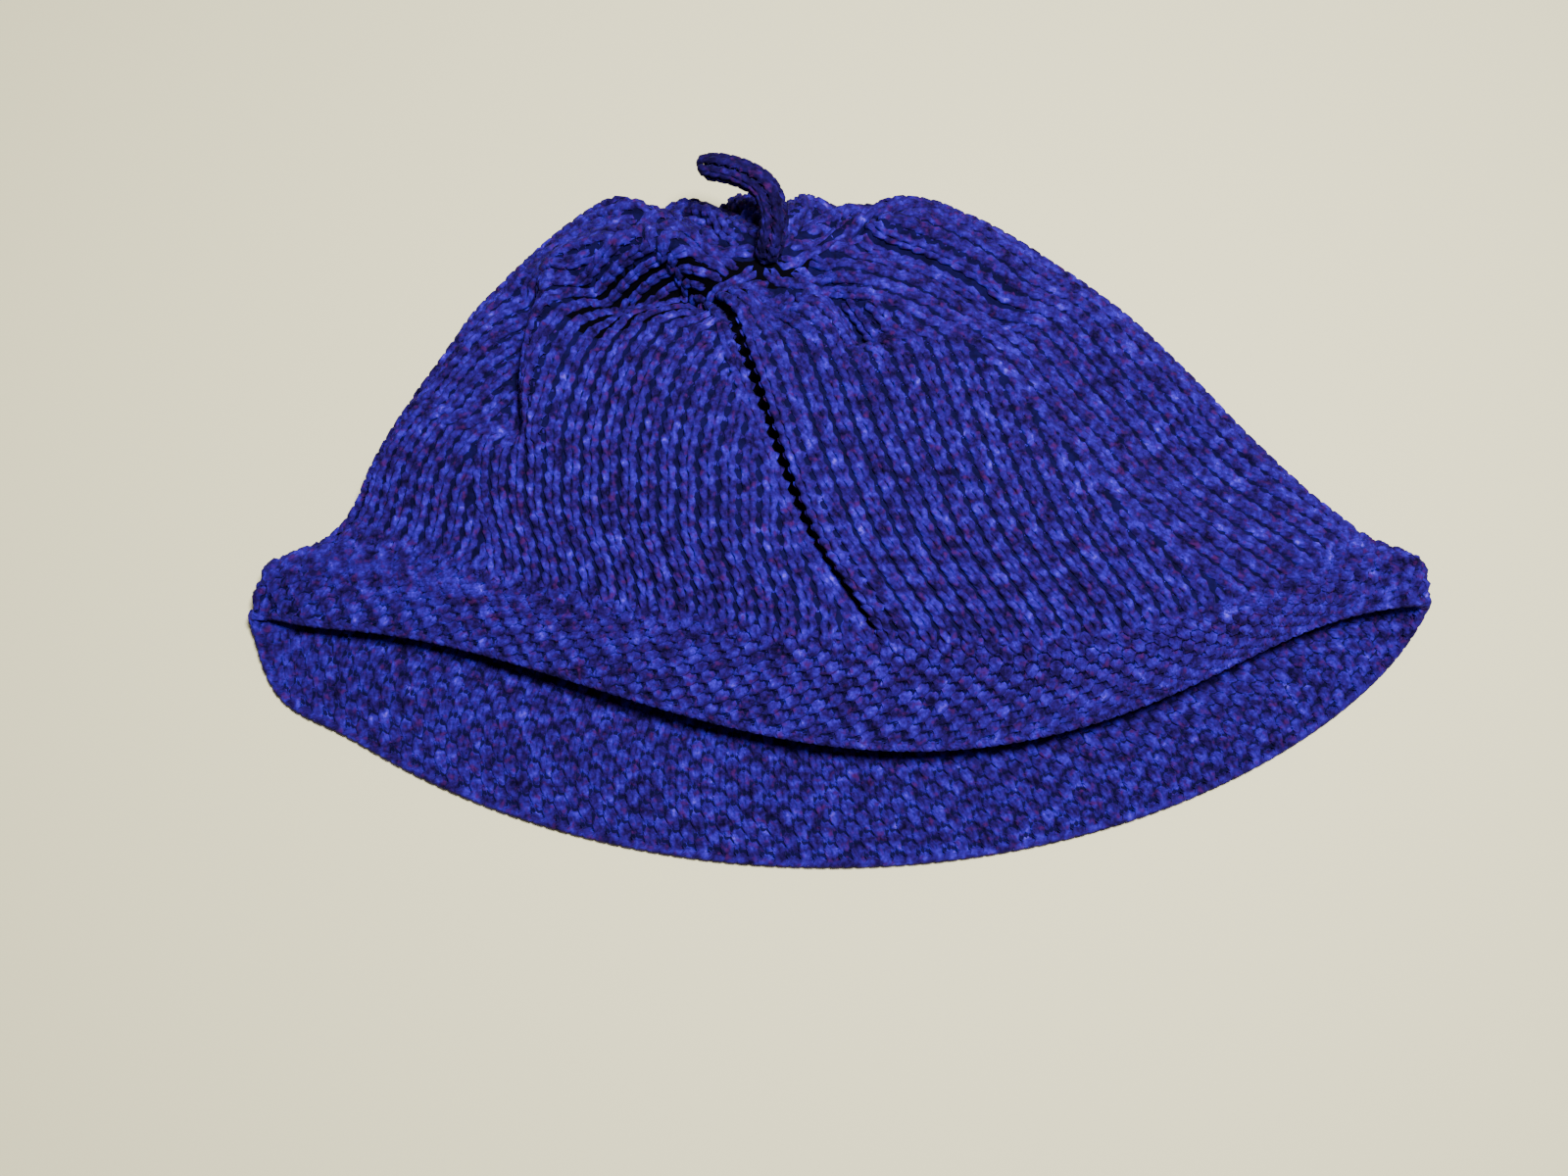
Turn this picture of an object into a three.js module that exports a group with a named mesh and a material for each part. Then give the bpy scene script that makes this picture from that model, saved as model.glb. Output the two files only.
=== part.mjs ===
// A hand-knitted bell hat lying on its back on a table, as it is put down after wearing.
// It is three pieces: a stocking-stitch crown drawn together at its top, a flared moss-stitch brim
// and a short knitted cord that stands on the gather as a stem.
// Millimetres, +Z up from the table. X runs across the hat and Y from the brim towards the stem.
import * as THREE from "three";

// Fabric and yarn
const WALL = 3.2; // thickness of the knitted fabric
const PIECE_GAP = 0.3; // clearance kept between two pieces
const TABLE = 0; // height of the table top, on which the lower layer lies flat
const LIP_ROUND = 1.3; // how far the bound-off edge bulges past the wall
const CORD_DIAMETER = 7.2; // the four-stitch cord of the stem
const GATHER_AT = { x: -4.5, y: 74, z: 28 }; // where the crown is drawn together under the stem
const COLLAR_RADIUS = { x: 7, y: 6 }; // the flat patch around it that the stem stands on

// One row for each round of the knitting that shapes the hat, from the brim's edge to the gather.
//   left, right     the two side folds, across the hat
//   side, sideUp    how far along and how high those folds lie
//   slant           how much farther along the right fold lies than the left one
//   fold            height of the rounded fold above sideUp
//   corner          share of the half round that the rounded fold takes up
//   ease            how softly both layers turn at the folds
//   ridge           where the upper layer is highest, across the hat
//   top, topUp      how far along and how high the upper layer lies there
//   topBow          how late the upper layer leaves the folds: 1 is an even arc, 5 a wide smile
//   crease          angle of the long crease, from 0 at the right fold to 180 at the left one
//   under, underUp  how far along and how high the lower layer lies at its middle
//   keel            how far that middle lies to the right of halfway between the folds
//   underBow        how late the lower layer leaves the folds
const ROUNDS = [
  { name: "edge",
    left: -128.6, right: 153.5, side: -8, slant: 5, sideUp: 6.5, fold: 5.5, corner: 0.4, ease: 0.3,
    ridge: 30, top: -41, topUp: 15, topBow: 4.6, crease: 94,
    under: -66.3, underUp: 0, keel: -2.2, underBow: 1.23 },
  { name: "flare",
    left: -124, right: 151.5, side: 3.6, slant: 2, sideUp: 7.5, fold: 6, corner: 0.42, ease: 0.5,
    ridge: 36, top: -31, topUp: 20.5, topBow: 3, crease: 94,
    under: -51.5, underUp: 0, keel: -2, underBow: 1.2 },
  { name: "joint",
    left: -107.5, right: 136, side: 12.5, slant: 0, sideUp: 8, fold: 6.5, corner: 0.48, ease: 0.6,
    ridge: 38, top: -19, topUp: 29, topBow: 1.9, crease: 93,
    under: -34.5, underUp: 0, keel: 4, underBow: 1.25 },
  { name: "low",
    left: -98, right: 114.5, side: 32, slant: 0, sideUp: 8.5, fold: 7, corner: 0.5, ease: 0.6,
    ridge: 22, top: 4, topUp: 35.5, topBow: 1.6, crease: 94,
    under: -10, underUp: 0, keel: 2, underBow: 1.25 },
  { name: "middle",
    left: -86, right: 96.5, side: 52, slant: 0, sideUp: 8.5, fold: 7, corner: 0.52, ease: 0.6,
    ridge: 11, top: 26, topUp: 37.5, topBow: 1.5, crease: 96,
    under: 18, underUp: 0, keel: 0, underBow: 1.25 },
  { name: "high",
    left: -73, right: 77.5, side: 70, slant: 0, sideUp: 9, fold: 8, corner: 0.58, ease: 0.8,
    ridge: 3, top: 45, topUp: 36.5, topBow: 1.4, crease: 98,
    under: 46, underUp: 0, keel: 0, underBow: 1.25 },
  { name: "shoulder",
    left: -51, right: 46, side: 89, slant: 0, sideUp: 12.5, fold: 11, corner: 0.72, ease: 1.4,
    ridge: -2, top: 56.5, topUp: 34, topBow: 1.3, crease: 102,
    under: 73, underUp: 0, keel: 0, underBow: 1.25 },
  { name: "rim",
    left: -37, right: 25, side: 90.5, slant: 0, sideUp: 18, fold: 12, corner: 0.8, ease: 1,
    ridge: -4, top: 64, topUp: 31, topBow: 1, crease: 112,
    under: 95, underUp: 10, keel: 0, underBow: 1 },
  { name: "collar",
    left: GATHER_AT.x - COLLAR_RADIUS.x, right: GATHER_AT.x + COLLAR_RADIUS.x,
    side: GATHER_AT.y, slant: 0, sideUp: GATHER_AT.z, fold: 0, corner: 1, ease: 0,
    ridge: GATHER_AT.x, top: GATHER_AT.y - COLLAR_RADIUS.y, topUp: GATHER_AT.z, topBow: 1, crease: 108,
    under: GATHER_AT.y + COLLAR_RADIUS.y, underUp: GATHER_AT.z, keel: 0, underBow: 1 },
  { name: "gather",
    left: GATHER_AT.x, right: GATHER_AT.x,
    side: GATHER_AT.y, slant: 0, sideUp: GATHER_AT.z, fold: 0, corner: 1, ease: 0,
    ridge: GATHER_AT.x, top: GATHER_AT.y, topUp: GATHER_AT.z, topBow: 1, crease: 100,
    under: GATHER_AT.y, underUp: GATHER_AT.z, keel: 0, underBow: 1 },
];
const TOP_CROWN = 2; // the upper layer rises from fold to ridge as a parabola

// Soft folds of the upper layer. Each runs from (fromX, fromY) to (toX, toY), is bowed sideways at
// its middle, and lifts the fabric by rise, or sinks it, over a half width.
const FOLDS = [
  { name: "dent", fromX: -45, fromY: 62, toX: -19, toY: 65, bow: 2, rise: -8, width: 8 },
  { name: "arch_left", fromX: -57, fromY: 36, toX: -53, toY: 70, bow: 2, rise: 3, width: 6 },
  { name: "arch_top", fromX: -50, fromY: 74, toX: -14, toY: 75, bow: 4, rise: 3, width: 6 },
  { name: "arch_foot", fromX: -65, fromY: 32, toX: -63, toY: 68, bow: 2, rise: -2.5, width: 5 },
  { name: "stem_valley", fromX: -4, fromY: 73, toX: -3, toY: 62, bow: 0, rise: -3, width: 5 },
  { name: "right_gather", fromX: 3, fromY: 72, toX: 17, toY: 52, bow: 3, rise: -3, width: 4.5 },
  { name: "far_gather", fromX: 12, fromY: 80, toX: 48, toY: 62, bow: 3, rise: -2.5, width: 6 },
  { name: "right_hollow", fromX: 70, fromY: 40, toX: 100, toY: 22, bow: 0, rise: -2.5, width: 14 },
];
const CREASE_STEP = 2.2; // how far each bank of the long crease lies from the smooth fabric
const CREASE_WIDTH = 3.5; // from the crease to the crest of each bank
const CREASE_SPAN = { start: 2.2, full: 3.2, fade: 6.2, end: 7.3 }; // in rounds of the table above
const TOP_SPAN = { start: 0.15, full: 0.5 }; // share of the half round where the folds set in
const GATHER_PLEATS = 11; // small pleats drawn in around the stem
const GATHER_DEPTH = 0.9;
const GATHER_SPAN = { start: 6.4, full: 7, fade: 7.4, end: 7.9 }; // in rounds
const GATHER_BUNCH = 4.5; // thickness of the fabric bunched under the stem
const RUFFLE_WAVES = 7; // slow waves along the brim's edge
const RUFFLE_DEPTH = 0.7;

// The stem leaves the gather upright, bends towards the far side and leans to the left
const STEM = [
  { name: "root", x: GATHER_AT.x, y: GATHER_AT.y, z: GATHER_AT.z + PIECE_GAP },
  { name: "neck", x: -4.5, y: 74.2, z: 32.5 },
  { name: "bend", x: -4.7, y: 78, z: 37.5 },
  { name: "lean", x: -8.6, y: 86.6, z: 38.4 },
  { name: "over", x: -14.2, y: 90.3, z: 37.2 },
  { name: "tip", x: -20.7, y: 92.4, z: 34.5 },
];

// Faceting
const TOP_COLUMNS = 52; // around the upper layer, from the right fold to the left one
const UNDER_COLUMNS = 28; // back again around the lower layer
const BRIM_STEPS = 7; // rings between the brim's edge and the crown
const CROWN_STEPS = 23; // rings between the brim and the collar
const INNER_STEPS = 19; // rings of the inner face, between the brim and the rim
const CORD_SIDES = 12;
const CORD_STEPS = 14;
const CROWDING = 0.5; // how strongly the columns crowd towards the folds: 0 is evenly spread
const SLOPE_STEP = 0.02; // step, in rounds and in radians, over which slopes are taken

const JOINT = ROUNDS.findIndex((r) => r.name === "joint");
const COLLAR = ROUNDS.findIndex((r) => r.name === "collar");
const RIM = ROUNDS.findIndex((r) => r.name === "rim");
const GATHER = ROUNDS.length - 1;

const smooth = THREE.MathUtils.smoothstep;
const lerp = THREE.MathUtils.lerp;
const within = (t, span) => smooth(t, span.start, span.full) * (1 - smooth(t, span.fade, span.end));

// Every column of the table at a round between two rows, on a Catmull-Rom curve through the rows
function roundAt(t) {
  const i = Math.min(Math.max(Math.floor(t), 0), GATHER - 1);
  const f = t - i;
  const rows = [i - 1, i, i + 1, i + 2].map((k) => ROUNDS[Math.min(Math.max(k, 0), GATHER)]);
  const made = {};
  for (const column of Object.keys(ROUNDS[0]).filter((key) => key !== "name")) {
    const [a, b, c, d] = rows.map((row) => row[column]);
    made[column] = b + 0.5 * f * (c - a + f * (2 * a - 5 * b + 4 * c - d + f * (3 * (b - c) + d - a)));
  }
  return made;
}

// Share of the way from a side fold to the middle of a layer: round at the fold, then a power of s
function layerBow(s, bow, ease) {
  if (bow >= 2 || ease <= 0) return s ** bow;
  return (s ** 2 * (1 + ease)) / (s ** (2 - bow) + ease);
}

// Quarter-round rise of a side fold: 0 at the fold itself, 1 once it has turned into a layer
const foldRise = (s, corner) => 1 - (1 - Math.min(1, s / corner)) ** 2;

// A point of the smooth fabric at a round t and an angle: 0 is the right fold, half a turn the left
// one, the upper layer lies between them and the lower layer after them.
function smoothPoint(t, angle) {
  const r = roundAt(t);
  const across = Math.cos(angle);
  const s = Math.abs(Math.sin(angle));
  const upper = Math.sin(angle) >= 0;
  const middle = (r.left + r.right) / 2;
  const x = middle + ((r.right - r.left) / 2) * across;
  const side = r.side + (r.slant / 2) * across;
  const rise = foldRise(s, r.corner);
  if (!upper)
    return new THREE.Vector3(
      x + r.keel * s ** 2,
      lerp(side, r.under, layerBow(s, r.underBow, r.ease)),
      Math.max(TABLE, lerp(r.sideUp, r.underUp, rise)),
    );
  return new THREE.Vector3(
    x + (r.ridge - middle) * s ** 2,
    lerp(side, r.top, layerBow(s, r.topBow, r.ease)),
    r.sideUp + r.fold * rise + (r.topUp - r.sideUp - r.fold) * s ** TOP_CROWN,
  );
}

// Outward direction of the smooth fabric, from its slopes along and around
function outward(t, angle) {
  const back = Math.max(t - SLOPE_STEP, 0);
  const ahead = Math.min(t + SLOPE_STEP, GATHER - SLOPE_STEP);
  const along = smoothPoint(ahead, angle).sub(smoothPoint(back, angle));
  const around = smoothPoint(t, angle + SLOPE_STEP).sub(smoothPoint(t, angle - SLOPE_STEP));
  return around.cross(along).negate().normalize();
}

// Lift of one soft fold at a point of the upper layer
function foldLift(fold, x, y) {
  const run = new THREE.Vector2(fold.toX - fold.fromX, fold.toY - fold.fromY);
  const length = run.length();
  run.divideScalar(length);
  const dx = x - fold.fromX;
  const dy = y - fold.fromY;
  const share = THREE.MathUtils.clamp((dx * run.x + dy * run.y) / length, 0, 1);
  const past = dx * run.x + dy * run.y - share * length;
  const aside = dy * run.x - dx * run.y - fold.bow * 4 * share * (1 - share);
  return fold.rise * Math.exp(-(aside ** 2 + past ** 2) / fold.width ** 2);
}

// How far the fabric stands off its smooth form: folds, the long crease, gathers and ruffles
function relief(t, angle, point, depth) {
  const s = Math.max(Math.sin(angle), 0);
  const onTop = smooth(s, TOP_SPAN.start, TOP_SPAN.full) * (1 - smooth(t, RIM, COLLAR));
  let lift = 0;
  for (const fold of FOLDS) lift += onTop * foldLift(fold, point.x, point.y);
  const r = roundAt(t);
  const aside = (THREE.MathUtils.degToRad(r.crease) - angle) * ((r.right - r.left) / 2);
  const bank = (aside / CREASE_WIDTH) * Math.exp(1 - Math.abs(aside) / CREASE_WIDTH);
  lift += onTop * within(t, CREASE_SPAN) * CREASE_STEP * bank;
  if (depth === 0) lift += within(t, GATHER_SPAN) * GATHER_DEPTH * Math.cos(GATHER_PLEATS * angle);
  const loose = onTop * (1 - smooth(t, 0, JOINT));
  return lift + loose * RUFFLE_DEPTH * Math.sin(RUFFLE_WAVES * angle);
}

// A point of the fabric, a depth below its outer face
function fabricPoint(t, angle, depth) {
  const base = smoothPoint(t, angle);
  return base.clone().addScaledVector(outward(t, angle), relief(t, angle, base, depth) - depth);
}

// Angles of the columns at a round, crowded towards the side folds and the long crease
function columnAngles(t) {
  const crease = THREE.MathUtils.degToRad(roundAt(t).crease);
  const crowd = (f) => lerp(f, (1 - Math.cos(Math.PI * f)) / 2, CROWDING);
  const half = TOP_COLUMNS / 2;
  const angles = [];
  for (let i = 0; i < half; i++) angles.push(crease * crowd(i / half));
  for (let i = 0; i < half; i++) angles.push(lerp(crease, Math.PI, crowd(i / half)));
  for (let i = 0; i < UNDER_COLUMNS; i++) angles.push(Math.PI * (1 + crowd(i / UNDER_COLUMNS)));
  return angles;
}

const ring = (t, depth) => columnAngles(t).map((angle) => fabricPoint(t, angle, depth));

// A closed skin through rings of equal length. It ends in two poles, or joins up with its first ring.
function skin(rings, poles) {
  const count = rings[0].length;
  const points = rings.flat();
  const faces = [];
  const last = poles ? rings.length - 1 : rings.length;
  for (let i = 0; i < last; i++)
    for (let j = 0; j < count; j++) {
      const k = (j + 1) % count;
      const here = i * count;
      const next = ((i + 1) % rings.length) * count;
      faces.push(here + j, here + k, next + j, here + k, next + k, next + j);
    }
  if (poles) {
    const [first, final] = [points.length, points.length + 1];
    points.push(...poles);
    for (let j = 0; j < count; j++) {
      const k = (j + 1) % count;
      const end = (rings.length - 1) * count;
      faces.push(first, k, j, final, end + j, end + k);
    }
  }
  const geometry = new THREE.BufferGeometry().setFromPoints(points);
  geometry.setIndex(faces);
  geometry.computeVertexNormals();
  return geometry;
}

const spread = (from, to, steps) => Array.from({ length: steps + 1 }, (_, i) => lerp(from, to, i / steps));

// Half the gap between brim and crown, as a share of a round of the table
const ROUND_SPACING = 20; // mm between two rounds beside the joint
const HALF_GAP = PIECE_GAP / 2 / ROUND_SPACING;

function crownGeometry() {
  const outer = spread(COLLAR, JOINT + HALF_GAP, CROWN_STEPS).map((t) => ring(t, 0));
  const inner = spread(JOINT + HALF_GAP, RIM, INNER_STEPS).map((t) => ring(t, WALL));
  const top = smoothPoint(GATHER, 0);
  const inside = top.clone().setZ(top.z - GATHER_BUNCH);
  return skin([...outer, ...inner], [top, inside]);
}

function brimGeometry() {
  const rounds = spread(JOINT - HALF_GAP, 0, BRIM_STEPS);
  const outer = rounds.map((t) => ring(t, 0));
  const inner = rounds.map((t) => ring(t, WALL)).reverse();
  const lip = columnAngles(0).map((angle) => {
    const middle = fabricPoint(0, angle, WALL / 2);
    const away = middle.clone().sub(fabricPoint(SLOPE_STEP, angle, WALL / 2)).normalize();
    return middle.addScaledVector(away, LIP_ROUND);
  });
  return skin([...outer, lip, ...inner]);
}

// The cord of the stem: round rings along its bend, closing in a rounded tip
function stemGeometry() {
  const path = new THREE.CatmullRomCurve3(STEM.map((p) => new THREE.Vector3(p.x, p.y, p.z)));
  const frames = path.computeFrenetFrames(CORD_STEPS, false);
  const tipShare = CORD_DIAMETER / 2 / path.getLength();
  const rings = spread(0, 1 - tipShare / 8, CORD_STEPS).map((f, i) => {
    const past = Math.max(0, (f - (1 - tipShare)) / tipShare);
    const radius = (CORD_DIAMETER / 2) * Math.sqrt(1 - past ** 2);
    const centre = path.getPointAt(f);
    return Array.from({ length: CORD_SIDES }, (_, j) => {
      const turn = (2 * Math.PI * j) / CORD_SIDES;
      return centre
        .clone()
        .addScaledVector(frames.normals[i], radius * Math.cos(turn))
        .addScaledVector(frames.binormals[i], radius * Math.sin(turn));
    });
  });
  return skin(rings, [path.getPointAt(0), path.getPointAt(1)]);
}

// Heathered worsted wool: violet blue, matt and a little fuzzy
const wool = (color) => new THREE.MeshStandardMaterial({ color, roughness: 0.95, metalness: 0 });

function piece(name, geometry, color) {
  const mesh = new THREE.Mesh(geometry, wool(color));
  mesh.name = name;
  return mesh;
}

const drawing = new THREE.Group();
drawing.add(piece("crown", crownGeometry(), 0x2b2a86));
drawing.add(piece("brim", brimGeometry(), 0x2a2880));
drawing.add(piece("stem", stemGeometry(), 0x1d1a52));

// The origin is the middle of the whole hat, on the table
const box = new THREE.Box3().setFromObject(drawing);
const centre = box.getCenter(new THREE.Vector3());
drawing.position.set(-centre.x, -centre.y, -box.min.z);

const hat = new THREE.Group();
hat.add(drawing);

export default hat;
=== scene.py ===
# Knitted bell hat lying on its back: every stitch is a loop of yarn laid over the form of the solids
import math

import bmesh
import bpy
import numpy as np
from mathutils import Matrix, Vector


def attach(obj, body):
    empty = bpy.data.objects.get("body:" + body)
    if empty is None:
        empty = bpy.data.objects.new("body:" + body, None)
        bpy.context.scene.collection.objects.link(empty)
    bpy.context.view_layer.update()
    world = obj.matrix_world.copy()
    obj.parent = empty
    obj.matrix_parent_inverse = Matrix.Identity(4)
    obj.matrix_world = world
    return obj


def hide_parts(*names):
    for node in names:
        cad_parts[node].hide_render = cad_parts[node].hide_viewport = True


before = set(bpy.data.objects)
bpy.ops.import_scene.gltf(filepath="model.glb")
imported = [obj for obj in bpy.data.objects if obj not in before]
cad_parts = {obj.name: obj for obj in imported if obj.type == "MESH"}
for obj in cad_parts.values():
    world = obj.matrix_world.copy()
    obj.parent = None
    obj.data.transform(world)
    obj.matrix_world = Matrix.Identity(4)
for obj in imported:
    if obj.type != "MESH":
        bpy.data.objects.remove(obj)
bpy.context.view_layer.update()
print("frame loaded")

mm = 0.001
turn = 2 * math.pi
ringSteps = 720  # steps once round the hat

# The form that the fabric lies in, in mm: one value for each round of the solids, from the
# brim's edge to the gather under the stem. Upper layer from fold to fold, then the lower layer.
hatForm = {
    "left": (-128.6, -124, -107.5, -98, -86, -73, -51, -37, -11.5, -4.5),
    "right": (153.5, 151.5, 136, 114.5, 96.5, 77.5, 46, 25, 2.5, -4.5),
    "side": (-8, 3.6, 12.5, 32, 52, 70, 89, 90.5, 74, 74),
    "slant": (5, 2, 0, 0, 0, 0, 0, 0, 0, 0),
    "sideUp": (6.5, 7.5, 8, 8.5, 8.5, 9, 12.5, 18, 28, 28),
    "fold": (5.5, 6, 6.5, 7, 7, 8, 11, 12, 0, 0),
    "corner": (0.4, 0.42, 0.48, 0.5, 0.52, 0.58, 0.72, 0.8, 1, 1),
    "ease": (0.3, 0.5, 0.6, 0.6, 0.6, 0.8, 1.4, 1, 0, 0),
    "ridge": (30, 36, 38, 22, 11, 3, -2, -4, -4.5, -4.5),
    "top": (-41, -31, -19, 4, 26, 45, 56.5, 64, 68, 74),
    "topUp": (15, 20.5, 29, 35.5, 37.5, 36.5, 34, 31, 28, 28),
    "topBow": (4.6, 3, 1.9, 1.6, 1.5, 1.4, 1.3, 1, 1, 1),
    "crease": (98, 98, 98, 98.5, 98.5, 99, 103, 112, 108, 100),
    "under": (-66.3, -51.5, -34.5, -10, 18, 46, 73, 95, 80, 74),
    "underUp": (0, 0, 0, 0, 0, 0, 0, 10, 28, 28),
    "keel": (-2.2, -2, 4, 2, 0, 0, 0, 0, 0, 0),
    "underBow": (1.23, 1.2, 1.25, 1.25, 1.25, 1.25, 1.25, 1, 1, 1),
}
edgeRound, jointRound, rimRound, collarRound, gatherRound = 0, 2, 7, 8, 9
hatCentre = np.array((12.45, 13.973, 0))  # from the drawing's zero to the middle of the hat
wall = 3.2
upperLayer = {"from": 0.15, "full": 0.5}  # sine of the angle round the hat, where folds fade in

# Soft folds of the upper layer: from x, y to x, y, sideways bow, rise, half width. The dent falls
# away towards its line and has a second half width, for the steep wall on the line's left.
softFolds = {
    "dent": (-44, 66.5, -24, 67.5, 1, -15, 8, 5),
    "archLeft": (-57, 32, -55, 68, 3, 4, 5),
    "archTop": (-52, 73, -15, 74.5, 3, 4, 4.5),
    "archFoot": (-64, 34, -62, 66, 2, -6, 4),
    "stemValley": (-4, 67, -3, 57, 0, -4, 5),
    "rightGather": (1, 71, 17, 53, 3, -6, 3.5),
    "farGather": (10, 80, 52, 60, 3, -5, 4),
    "rightHollow": (70, 40, 100, 22, 0, -2.5, 14),
}
# Where the columns are pulled together, with dark gaps between them, in the same order
pulledIn = {"dent": (-44, 62, -17, 66, 2, 1, 9), "band": (6, 76, 50, 64, 2, 0.45, 10)}
# The crease and the pleats fade in from start to full and out from fade to end, in rounds
longCrease = {"step": 2.4, "width": 3.5, "slit": 5.0, "slitSharpness": 3,
              "start": 1.9, "full": 2.6, "fade": 6.2, "end": 7.3}
gatherPleats = {"count": 11, "depth": 1.5, "start": 6.0, "full": 7, "fade": 7.4, "end": 7.9}
ruffle = {"waves": 7, "depth": 0.7}
# The brim's left end is rounder than in the solids: x, y, spread and shift of each bulge. Its upper edge
# sinks onto the lower one there, fading in with the sine of the angle and out over part of a round.
leftBulges = {"tip": (-128, -9, 13, (0.5, 3.3, 0)), "under": (-120, -26, 13, (-2.2, -3.2, 0))}
leftCorner = {"x": -128, "reach": 12, "sink": 3.2, "around": 0.2, "rounds": 0.8}


def smooth(x, low, high):
    f = np.clip((x - low) / (high - low), 0, 1)
    return f * f * (3 - 2 * f)


def within(t, span):
    return smooth(t, span["start"], span["full"]) * (1 - smooth(t, span["fade"], span["end"]))


def curveThrough(a, b, c, d, f):  # smooth curve through four values, a share f of the way from b to c
    return b + 0.5 * f * (c - a + f * (2 * a - 5 * b + 4 * c - d + f * (3 * (b - c) + d - a)))


def formAt(name, t):  # smooth curve through one line of the form
    line = np.asarray(hatForm[name], float)
    last = len(line) - 1
    i = np.clip(np.floor(t).astype(int), 0, last - 1)
    return curveThrough(*(line[np.clip(i + k, 0, last)] for k in (-1, 0, 1, 2)), t - i)


def layerBow(s, bow, ease):
    soft = (bow < 2) & (ease > 0)
    eased = s**2 * (1 + ease) / (s ** np.where(soft, 2 - bow, 1) + np.where(soft, ease, 1))
    return np.where(soft, eased, s**bow)


def smoothPoint(t, angle):
    r = {name: formAt(name, t) for name in hatForm}
    across, s = np.cos(angle), np.abs(np.sin(angle))
    middle = (r["left"] + r["right"]) / 2
    x = middle + (r["right"] - r["left"]) / 2 * across
    side = r["side"] + r["slant"] / 2 * across
    rise = 1 - (1 - np.minimum(1, s / r["corner"])) ** 2
    under = np.stack(np.broadcast_arrays(
        x + r["keel"] * s**2,
        side + (r["under"] - side) * layerBow(s, r["underBow"], r["ease"]),
        np.maximum(0, r["sideUp"] + (r["underUp"] - r["sideUp"]) * rise)), -1)
    upper = np.stack(np.broadcast_arrays(
        x + (r["ridge"] - middle) * s**2,
        side + (r["top"] - side) * layerBow(s, r["topBow"], r["ease"]),
        r["sideUp"] + r["fold"] * rise + (r["topUp"] - r["sideUp"] - r["fold"]) * s**2), -1)
    return np.where((np.sin(angle) >= 0)[..., None], upper, under)


def unit(v):
    return v / np.maximum(np.linalg.norm(v, axis=-1, keepdims=True), 1e-9)


def runLength(points):  # distance along a line from its first point to each
    return np.concatenate([[0], np.cumsum(np.linalg.norm(np.diff(points, axis=0), axis=1))])


def outward(t, angle, step=0.02):
    along = smoothPoint(np.minimum(t + step, gatherRound - step), angle)
    along = along - smoothPoint(np.maximum(t - step, 0), angle)
    around = smoothPoint(t, angle + step) - smoothPoint(t, angle - step)
    return unit(np.cross(along, around))


def foldLift(x, y, fromX, fromY, toX, toY, bow, rise, width, leftWidth=None):
    length = math.hypot(toX - fromX, toY - fromY)
    runX, runY = (toX - fromX) / length, (toY - fromY) / length
    along = (x - fromX) * runX + (y - fromY) * runY
    share = np.clip(along / length, 0, 1)
    aside = (y - fromY) * runX - (x - fromX) * runY - bow * 4 * share * (1 - share)
    near = np.exp(-((aside / width) ** 2))
    if leftWidth:
        near = np.where(aside > 0, np.exp(-((aside / leftWidth) ** 2)), np.exp(-np.abs(aside) / width))
    return rise * near * np.exp(-(((along - share * length) / width) ** 2))


def pulled(points):  # 0 where the knitting lies relaxed, up to 1 where it is pulled together
    return np.clip(sum(foldLift(points[..., 0], points[..., 1], *spot) for spot in pulledIn.values()), 0, 1)


def fabricPoint(t, angle, depth=wall / 2, slit=0):  # a point of the fabric, a depth below its outer face
    t, angle = np.broadcast_arrays(np.asarray(t, float), np.asarray(angle, float))
    base = smoothPoint(t, angle)
    onTop = smooth(np.maximum(np.sin(angle), 0), upperLayer["from"], upperLayer["full"])
    onTop = onTop * (1 - smooth(t, rimRound, collarRound))
    lift = onTop * sum(foldLift(base[..., 0], base[..., 1], *fold) for fold in softFolds.values())
    aside = (np.radians(formAt("crease", t)) - angle + math.pi) % turn - math.pi
    aside = aside * (formAt("right", t) - formAt("left", t)) / 2 / longCrease["width"]
    lift += onTop * within(t, longCrease) * longCrease["step"] * aside * np.exp(1 - np.abs(aside))
    lift -= onTop * within(t, longCrease) * slit * np.exp(-((longCrease["slitSharpness"] * aside) ** 2))
    lift += within(t, gatherPleats) * gatherPleats["depth"] * np.cos(gatherPleats["count"] * angle)
    loose = onTop * (1 - smooth(t, edgeRound, jointRound))
    lift += loose * ruffle["depth"] * np.sin(ruffle["waves"] * angle)
    corner = np.exp(-(((base[..., 0] - leftCorner["x"]) / leftCorner["reach"]) ** 2))
    onEdge = smooth(np.sin(angle), 0, leftCorner["around"])
    lift -= leftCorner["sink"] * corner * onEdge * (1 - smooth(t, edgeRound, leftCorner["rounds"]))
    moved = base
    for x, y, spread, shift in leftBulges.values():
        near = np.exp(-((base[..., 0] - x) ** 2 + (base[..., 1] - y) ** 2) / spread**2)
        moved = moved + near[..., None] * np.array(shift)
    return moved + outward(t, angle) * (lift - depth)[..., None]


class Rings:  # arc length round the fabric, measured leftwards from the long crease
    def __init__(self, low, high, count):
        self.rounds = np.linspace(low, high, count)
        self.angles = np.radians(formAt("crease", self.rounds))[:, None] + np.linspace(0, turn, ringSteps + 1)
        points = fabricPoint(self.rounds[:, None], self.angles)
        steps = np.linalg.norm(np.diff(points, axis=1), axis=2)
        self.arcs = np.concatenate([np.zeros((count, 1)), np.cumsum(steps, axis=1)], axis=1)
        self.lengths = self.arcs[:, -1]

    def column(self, arc):  # line of fabric at an arc length for every ring, with its side direction
        here, beside = (np.array([np.interp(a % n, arcs, angles) for a, n, arcs, angles in
                                  zip(arc + shift, self.lengths, self.arcs, self.angles)])
                        for shift in (0, 1))
        points = fabricPoint(self.rounds, here)
        return points, unit(fabricPoint(self.rounds, beside) - points)


rowsLeftFree = 0.35  # at the end of a column
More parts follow.
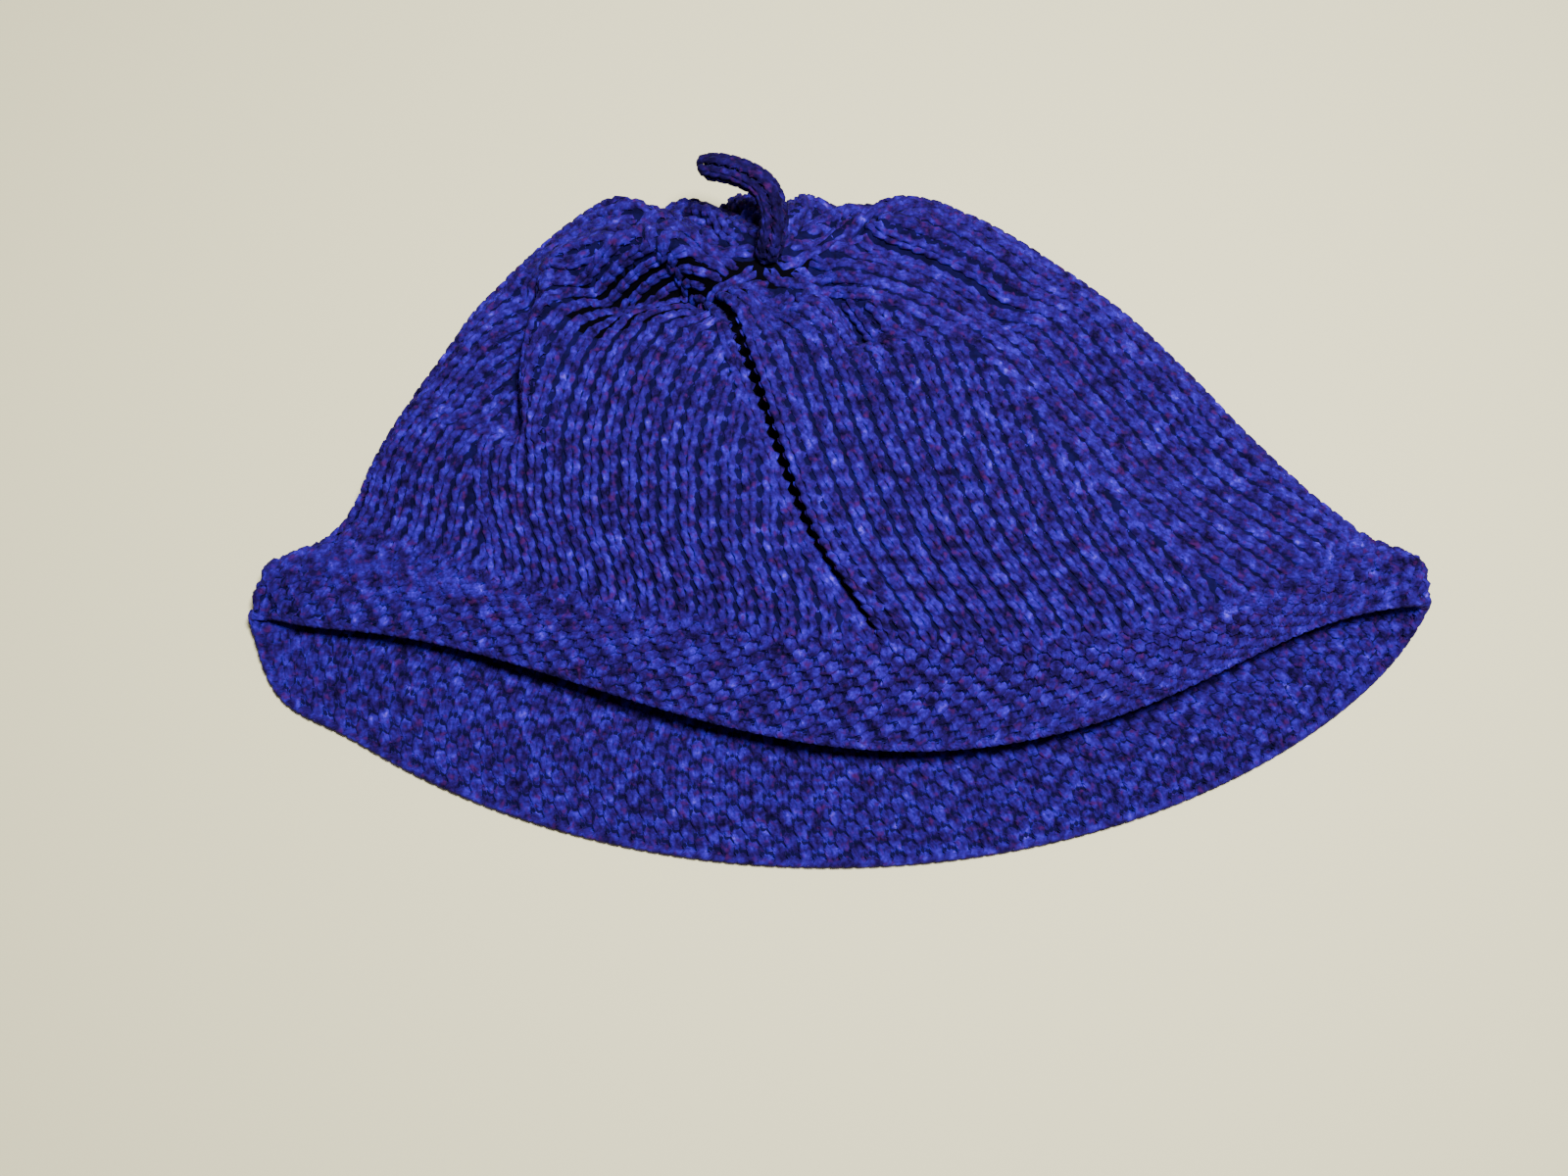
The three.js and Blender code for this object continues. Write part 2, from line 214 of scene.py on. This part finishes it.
# One stitch as a bent piece of yarn: across (stitch widths), along (rows), through (front 1, back -1)
stitchShape = np.array([
    (-0.50, -0.28, -1.0), (-0.17, -0.07, -0.3), (-0.14, 0.36, 0.95), (-0.25, 0.86, 0.8), (-0.20, 1.30, -0.7),
    (0.20, 1.30, -0.7), (0.25, 0.86, 0.8), (0.14, 0.36, 0.95), (0.17, -0.07, -0.3), (0.50, -0.28, -1.0)])


def layStitches(points, sides, width, through, rowHeight=None, rows=None, flip=None, sink=None):
    # loops along one column of stitches, every rowHeight mm or a fixed number of rows
    run = runLength(points)
    if rows is None:
        rows = int(run[-1] / rowHeight - rowsLeftFree)
    else:
        rowHeight = run[-1] / rows
    if rows < 1:
        return np.zeros((0, len(stitchShape), 3))
    normals = unit(np.cross(unit(np.gradient(points, axis=0)), sides))
    at = (np.arange(rows)[:, None] + stitchShape[:, 1]) * rowHeight

    def sampled(values):
        values = np.asarray(values, float)
        if values.ndim == 0:
            return np.full(at.shape, float(values))
        if values.ndim == 1:
            return np.interp(at, run, values)
        return np.stack([np.interp(at, run, values[:, k]) for k in range(3)], -1)

    centre, side, normal = sampled(points), unit(sampled(sides)), unit(sampled(normals))
    start, end = unit(points[1] - points[0]), unit(points[-1] - points[-2])
    centre = centre + np.minimum(at, 0)[..., None] * start + np.maximum(at - run[-1], 0)[..., None] * end
    depth = stitchShape[:, 2] * through * np.ones(at.shape)
    if flip is not None:
        depth = depth * flip[:rows, None]
    if sink is not None:
        depth = depth - sampled(sink)
    return centre + side * (stitchShape[:, 0] * sampled(width))[..., None] + normal * depth[..., None]


def yarnPiece(name, loops, thickness, wool, node):
    loops = np.concatenate(loops) - hatCentre
    loops[..., 2] = np.maximum(loops[..., 2], thickness / 2)  # the lowest loops are pressed flat by the table
    loops = loops * mm
    curve = bpy.data.curves.new(name, "CURVE")
    curve.dimensions = "3D"
    curve.bevel_depth = thickness / 2 * mm
    curve.bevel_resolution = 1  # six sides, because the loops are many
    for loop in loops:
        spline = curve.splines.new("POLY")
        spline.points.add(len(loop) - 1)
        spline.points.foreach_set("co", np.column_stack([loop, np.ones(len(loop))]).ravel())
    drawn = bpy.data.objects.new(name, curve)
    bpy.context.collection.objects.link(drawn)
    mesh = bpy.data.meshes.new_from_object(drawn.evaluated_get(bpy.context.evaluated_depsgraph_get()))
    bpy.data.objects.remove(drawn)
    bpy.data.curves.remove(curve)
    mesh.shade_smooth()
    return addPiece(name, mesh, wool, node)


def addPiece(name, mesh, material, node):
    mesh.name = name
    mesh.materials.append(material)
    piece = bpy.data.objects.new(name, mesh)
    bpy.context.collection.objects.link(piece)
    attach(piece, "root")
    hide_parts(node)
    print(name, len(mesh.polygons), "faces")
    return piece


def linear(hexColour):  # sRGB hex to linear
    parts = [int(hexColour[i:i + 2], 16) / 255 for i in (1, 3, 5)]
    return [c / 12.92 if c <= 0.04045 else ((c + 0.055) / 1.055) ** 2.4 for c in parts] + [1]


def addNode(tree, kind, inputs=None, **settings):
    node = tree.nodes.new(kind)
    for name, value in settings.items():
        setattr(node, name, value)
    for name, value in (inputs or {}).items():
        if isinstance(value, bpy.types.NodeSocket):
            tree.links.new(value, node.inputs[name])
        else:
            node.inputs[name].default_value = value
    return node


def setRamp(node, stops):
    elements = node.color_ramp.elements
    while len(elements) < len(stops):
        elements.new(0.5)
    for element, (place, colour) in zip(elements, stops):
        element.position = place
        element.color = linear(colour)


# Worsted wool, spun from fibres dyed in several blues with violet flecks: heathered and matt, with a
# trace of sheen. Sizes in mm: clumps of fibre, flecks, the lay and depth of the plies, yarn in a stitch
woolLook = {"fibreClump": 3.2, "fleck": 1.7, "plies": 3, "plyLay": 8.0, "plyDepth": 0.4, "stitchYarn": 15.0}
oneBand = turn / 10  # diagonal bands repeat after this length


def worstedWool(name, stops, fleck="#421052", sheen=0.05):
    material = bpy.data.materials.new(name)
    material.use_nodes = True
    tree = material.node_tree
    tree.nodes.clear()
    place = addNode(tree, "ShaderNodeTexCoord")
    clump = addNode(tree, "ShaderNodeTexNoise", {
        "Vector": place.outputs["Object"], "Scale": 1 / (woolLook["fibreClump"] * mm), "Detail": 3.0,
        "Roughness": 0.65})
    heather = addNode(tree, "ShaderNodeValToRGB", {"Fac": clump.outputs["Fac"]})
    setRamp(heather, stops)
    speck = addNode(tree, "ShaderNodeTexNoise", {
        "Vector": place.outputs["Object"], "Scale": 1 / (woolLook["fleck"] * mm), "Detail": 1.0})
    rare = addNode(tree, "ShaderNodeMapRange", {
        "Value": speck.outputs["Fac"], "From Min": 0.58, "From Max": 0.76, "To Max": 0.75})
    colour = addNode(tree, "ShaderNodeMix", {"Factor": rare.outputs["Result"]}, data_type="RGBA")
    tree.links.new(heather.outputs["Color"], colour.inputs["A"])
    colour.inputs["B"].default_value = linear(fleck)
    twist = addNode(tree, "ShaderNodeMapping", {
        "Vector": place.outputs["UV"],
        "Scale": (oneBand * woolLook["plies"] * woolLook["stitchYarn"] / woolLook["plyLay"],
                  oneBand * woolLook["plies"], 0)})
    plies = addNode(tree, "ShaderNodeTexWave", {"Vector": twist.outputs["Vector"], "Scale": 1.0},
                    bands_direction="DIAGONAL")
    ridges = addNode(tree, "ShaderNodeBump", {
        "Height": plies.outputs["Fac"], "Strength": 0.5, "Distance": woolLook["plyDepth"] * mm})
    shader = addNode(tree, "ShaderNodeBsdfPrincipled", {
        "Base Color": colour.outputs["Result"], "Roughness": 0.9, "Specular IOR Level": 0.05,
        "Sheen Weight": sheen, "Sheen Roughness": 0.5, "Normal": ridges.outputs["Normal"]})
    shader.inputs["Sheen Tint"].default_value = linear("#7a70ff")
    output = addNode(tree, "ShaderNodeOutputMaterial")
    tree.links.new(shader.outputs["BSDF"], output.inputs["Surface"])
    return material


heatherStops = ((0.30, "#0b0226"), (0.42, "#1d084e"), (0.54, "#280f76"), (0.66, "#3619ac"), (0.76, "#6448d0"))
crownWool = worstedWool("heathered_worsted_wool", heatherStops)
brimWool = worstedWool("heathered_worsted_wool_moss", heatherStops)
# The stem's yarn is the same wool with darker stops: painted shade. Inside the fabric the wool looks darker
# still, because little light gets between the loops, and deep in the folds it is nearly black.
stemWool = worstedWool("worsted_wool_painted_shade", (
    (0.30, "#070119"), (0.45, "#140638"), (0.60, "#1d0a56"), (0.76, "#32188c")))
innerWool = worstedWool("wool_shadow_side", ((0.35, "#080426"), (0.65, "#10083e")), "#10083e", 0)
deepWool = worstedWool("wool_deep_in_folds", ((0.35, "#010104"), (0.65, "#020108")), "#020108", 0)

# Crown: six gores of stocking stitch. Columns run along each gore's left edge and go under the
# decrease line on its right edge.
crown = {"gores": 6, "stitchWidth": 4.65, "rowHeight": 3.5, "yarn": 1.9, "through": 0.6, "rings": 150,
         "from": jointRound - 0.02, "to": collarRound + 0.45, "fewestRings": 4, "hidden": 0.6,
         "tuck": 0.9, "tuckReach": 0.6, "creaseGap": 1.75, "pull": 0.62, "pullSink": 0.3, "upperFrom": 14}


def crownColumn(points, sides, sink=0):  # narrower and deeper where the knitting is pulled together
    tight = pulled(points) * (points[:, 2] > crown["upperFrom"])
    return layStitches(points, sides, crown["stitchWidth"] * (1 - crown["pull"] * tight), crown["through"],
                       crown["rowHeight"], sink=sink + crown["pullSink"] * tight)


def knitCrown():
    rings = Rings(crown["from"], crown["to"], crown["rings"])
    gore = rings.lengths / crown["gores"]
    width, least = crown["stitchWidth"], crown["hidden"] * crown["stitchWidth"]
    parted = crown["creaseGap"] * within(rings.rounds, longCrease)
    made = []
    for number in range(crown["gores"]):
        rightGap = parted if number == 0 else 0
        leftGap = parted if number == crown["gores"] - 1 else 0
        loops = [crownColumn(*rings.column(number * gore + width / 2 + rightGap))]
        for n in range(int(gore.max() / width)):
            room = gore - (n + 0.5) * width - leftGap
            end = int(np.argmax(room < least)) if (room < least).any() else len(room)
            if end < crown["fewestRings"]:
                continue
            points, sides = rings.column(number * gore + room)
            tucked = crown["tuck"] * (1 - smooth(room[:end], least, least + crown["tuckReach"] * width))
            loops.append(crownColumn(points[:end], sides[:end], tucked))
        made.append(np.concatenate(loops))
    return made


gores = knitCrown()
crownParts = {"crown_left_gores": (0, 1), "crown_under_gores": (2, 3), "crown_right_gores": (4, 5)}
for name, numbers in crownParts.items():
    yarnPiece(name, [gores[k] for k in numbers], crown["yarn"], crownWool, "crown")

# Brim: moss stitch, every second stitch turned to the back, and a bound-off chain along the edge
brim = {"columns": 200, "rows": 12, "yarn": 1.92, "rings": 60, "through": 0.6, "edgeStep": 0.05,
        "chainOut": 0.3, "chainWidth": 2.8, "chainThrough": 0.4}


def knitBrim():
    rings = Rings(edgeRound, jointRound, brim["rings"])
    loops = []
    for n in range(brim["columns"]):
        points, sides = rings.column(rings.lengths * (n + 0.5) / brim["columns"])
        turned = np.where((np.arange(brim["rows"]) + n) % 2, 1.0, -1.0)
        loops.append(layStitches(points, sides, rings.lengths / brim["columns"], brim["through"],
                                 rows=brim["rows"], flip=turned))
    return loops


def bindOff():  # a chain of stitches lying along the edge
    angles = np.linspace(0, turn, ringSteps + 1)
    edge = fabricPoint(edgeRound, angles)
    away = unit(edge - fabricPoint(edgeRound + brim["edgeStep"], angles))
    along = unit(np.gradient(edge, axis=0))
    return [layStitches(edge + away * brim["chainOut"], np.cross(away, along), brim["chainWidth"],
                        brim["chainThrough"], rows=brim["columns"])]


mossColumns = knitBrim()
half = len(mossColumns) // 2
yarnPiece("brim_left_half", mossColumns[:half], brim["yarn"], brimWool, "brim")
yarnPiece("brim_right_half", mossColumns[half:], brim["yarn"], brimWool, "brim")
yarnPiece("brim_bound_edge", bindOff(), brim["yarn"], brimWool, "brim")

# The inside of the fabric, where little light gets between the loops, and least in the folds
core = {"around": 180, "crownRows": 66, "brimRows": 16, "thickness": 0.7, "merge": 0.02,
        "top": collarRound + 0.9, "creaseFaces": 1.2, "creaseFrom": 0.2, "pulledFrom": 0.5,
        "gatherFrom": 7.7, "upperFrom": 0.3}


def fabricCore(name, low, high, rows, node):
    work = bmesh.new()
    bmesh.ops.create_grid(work, x_segments=core["around"], y_segments=rows, size=0.5)  # bent round the hat
    flat = np.array([v.co for v in work.verts] + [f.calc_center_median() for f in work.faces])
    rounds = low + (flat[:, 1] + 0.5) * (high - low)
    angles = np.radians(formAt("crease", rounds)) + (flat[:, 0] + 0.5) * turn
    placed = fabricPoint(rounds, angles, slit=longCrease["slit"])
    inCrease = np.abs(flat[:, 0]) > 0.5 - core["creaseFaces"] / core["around"]
    inCrease &= within(rounds, longCrease) > core["creaseFrom"]
    deep = (pulled(placed) > core["pulledFrom"]) | inCrease | (rounds > core["gatherFrom"])
    deep &= np.sin(angles) > core["upperFrom"]
    for face, isDeep in zip(work.faces, deep[len(work.verts):]):
        face.material_index = int(isDeep)
    for vert, place in zip(work.verts, (placed - hatCentre) * mm):
        vert.co = place
    bmesh.ops.remove_doubles(work, verts=work.verts, dist=core["merge"] * mm)
    bmesh.ops.recalc_face_normals(work, faces=work.faces)
    mesh = bpy.data.meshes.new(name)
    work.to_mesh(mesh)
    work.free()
    mesh.shade_smooth()
    piece = addPiece(name, mesh, innerWool, node)
    mesh.materials.append(deepWool)
    solid = piece.modifiers.new("thickness", "SOLIDIFY")
    solid.thickness = core["thickness"] * mm
    solid.offset = 0
    return piece


fabricCore("crown_core", jointRound, core["top"], core["crownRows"], "crown")
fabricCore("brim_core", edgeRound, jointRound, core["brimRows"], "brim")

# Stem: a narrow knitted cord
stem = {"points": ((-4.5, 74, 28.3), (-3.6, 75, 32.8), (-2.8, 79.5, 37), (-4.8, 85.2, 38.6),
                   (-9.4, 88.8, 38.2), (-15, 91.2, 36.8), (-20.5, 92.6, 34.6)),
        "columns": 5, "radius": 2.2, "rowHeight": 2.8, "yarn": 1.7, "through": 0.4, "rings": 80,
        "leastTip": 0.02, "narrowest": 1.0}


def stemPath(count):
    points = np.array(stem["points"], float)
    ends = np.concatenate([[2 * points[0] - points[1]], points, [2 * points[-1] - points[-2]]])
    made = []
    for k in np.linspace(0, len(points) - 1, count):
        i = min(int(k), len(points) - 2)
        made.append(curveThrough(*ends[i:i + 4], k - i))
    return np.array(made)


def knitStem():
    path = stemPath(stem["rings"])
    tangent = unit(np.gradient(path, axis=0))
    normal = [np.array((1.0, 0, 0))]
    for t in tangent:
        normal.append(unit(normal[-1] - np.dot(normal[-1], t) * t))
    normal = np.array(normal[1:])
    binormal = np.cross(tangent, normal)
    run = runLength(path)
    left = np.clip((run[-1] - run) / (2 * stem["radius"]), stem["leastTip"], 1)
    radius = stem["radius"] * np.sqrt(1 - (1 - left) ** 2)  # the cord's end is rounded
    loops = []
    for n in range(stem["columns"]):
        a = turn * n / stem["columns"]
        radial = normal * math.cos(a) + binormal * math.sin(a)
        sides = binormal * math.cos(a) - normal * math.sin(a)
        width = np.maximum(turn * radius / stem["columns"], stem["narrowest"])
        loops.append(layStitches(path + radial * radius[:, None], -sides, width, stem["through"],
                                 stem["rowHeight"]))
    return loops


yarnPiece("stem_cord", knitStem(), stem["yarn"], stemWool, "stem")

# Floor, camera and light. Lengths in mm, the floor from its middle to its side.
photo = {"lookAt": (-13.0, -14.8, 0), "elevation": 80, "distance": 402.1, "lens": 38, "floor": 3000}
floorMaterial = bpy.data.materials.new("pale_matt_board")  # painted board, without gloss
floorMaterial.use_nodes = True
floorShader = floorMaterial.node_tree.nodes["Principled BSDF"]
floorShader.inputs["Base Color"].default_value = linear("#efe8bc")
floorShader.inputs["Roughness"].default_value = 0.9
work = bmesh.new()
bmesh.ops.create_grid(work, x_segments=1, y_segments=1, size=photo["floor"] * mm)
floorMesh = bpy.data.meshes.new("floor")
work.to_mesh(floorMesh)
work.free()
floorMesh.materials.append(floorMaterial)
floor = bpy.data.objects.new("floor", floorMesh)
bpy.context.collection.objects.link(floor)

# One soft box above the hat, a little to its far right, and a pale room around it, in metres and watts
studio = {"place": (0.08, 0.03, 0.60), "aim": (0, 0, 0), "size": 0.12, "power": 8.2, "room": 0.15}
light = bpy.data.lights.new("soft_box", "AREA")
light.energy = studio["power"]
light.shape = "DISK"
light.size = studio["size"]
lamp = bpy.data.objects.new("soft_box", light)
lamp.location = studio["place"]
lamp.rotation_euler = (Vector(studio["aim"]) - Vector(studio["place"])).to_track_quat("-Z", "Y").to_euler()
bpy.context.collection.objects.link(lamp)
world = bpy.data.worlds.new("studio")
world.use_nodes = True
world.node_tree.nodes["Background"].inputs["Color"].default_value = linear("#f4f1ea")
world.node_tree.nodes["Background"].inputs["Strength"].default_value = studio["room"]
bpy.context.scene.world = world

camera = bpy.data.objects.new("camera", bpy.data.cameras.new("camera"))
camera.data.lens = photo["lens"]
tilt = math.radians(photo["elevation"])
lookAt = Vector(photo["lookAt"]) * mm
camera.location = lookAt + Vector((0, -math.cos(tilt), math.sin(tilt))) * photo["distance"] * mm
camera.rotation_euler = (math.pi / 2 - tilt, 0, 0)
bpy.context.collection.objects.link(camera)
bpy.context.scene.camera = camera
print("stage set")
